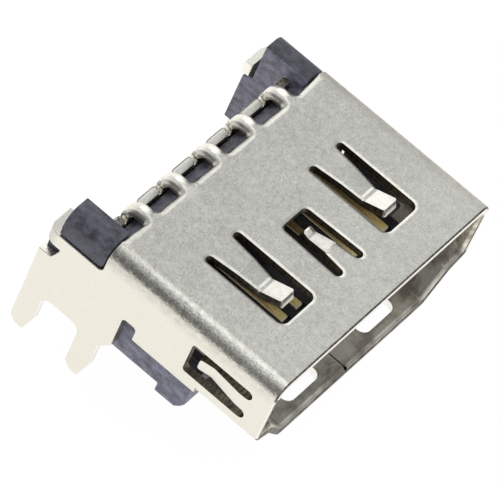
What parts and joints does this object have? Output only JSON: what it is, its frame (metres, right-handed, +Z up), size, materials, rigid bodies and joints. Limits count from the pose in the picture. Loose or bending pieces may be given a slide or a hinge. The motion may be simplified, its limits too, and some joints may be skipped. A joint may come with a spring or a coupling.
{
  "type": "digital video socket",
  "caption": "Right-angle board socket for a digital video plug: folded metal shell with sprung tongues and board legs, dark moulded housing with a contact tongue, and rows of flat contacts with tails.",
  "frame": {"origin": "middle of the shell's width at the mouth plane, on the board plane that the shell's floor and the housing's rails sit on", "axes": "+Z up from the board, -Y out of the mouth towards the plug, +X across the socket"},
  "size_m": [0.0148, 0.012, 0.0082],
  "materials": {
    "tinned_steel": "matt tin plate with a fine mottled grain",
    "dark_plastic": "matt moulded plastic, dark slate",
    "gold_plate": "thin gold plate on stamped copper alloy"
  },
  "bodies": {
    "root": {"shell": "tinned_steel", "housing": "dark_plastic", "tail_comb": "dark_plastic", "upper_contact_01": "gold_plate", "upper_contact_02": "gold_plate", "upper_contact_03": "gold_plate", "upper_contact_04": "gold_plate", "upper_contact_05": "gold_plate", "upper_contact_06": "gold_plate", "upper_contact_07": "gold_plate", "upper_contact_08": "gold_plate", "upper_contact_09": "gold_plate", "upper_contact_10": "gold_plate", "lower_contact_01": "gold_plate", "lower_contact_02": "gold_plate", "lower_contact_03": "gold_plate", "lower_contact_04": "gold_plate", "lower_contact_05": "gold_plate", "lower_contact_06": "gold_plate", "lower_contact_07": "gold_plate", "lower_contact_08": "gold_plate", "lower_contact_09": "gold_plate"}
  },
  "joints": []
}
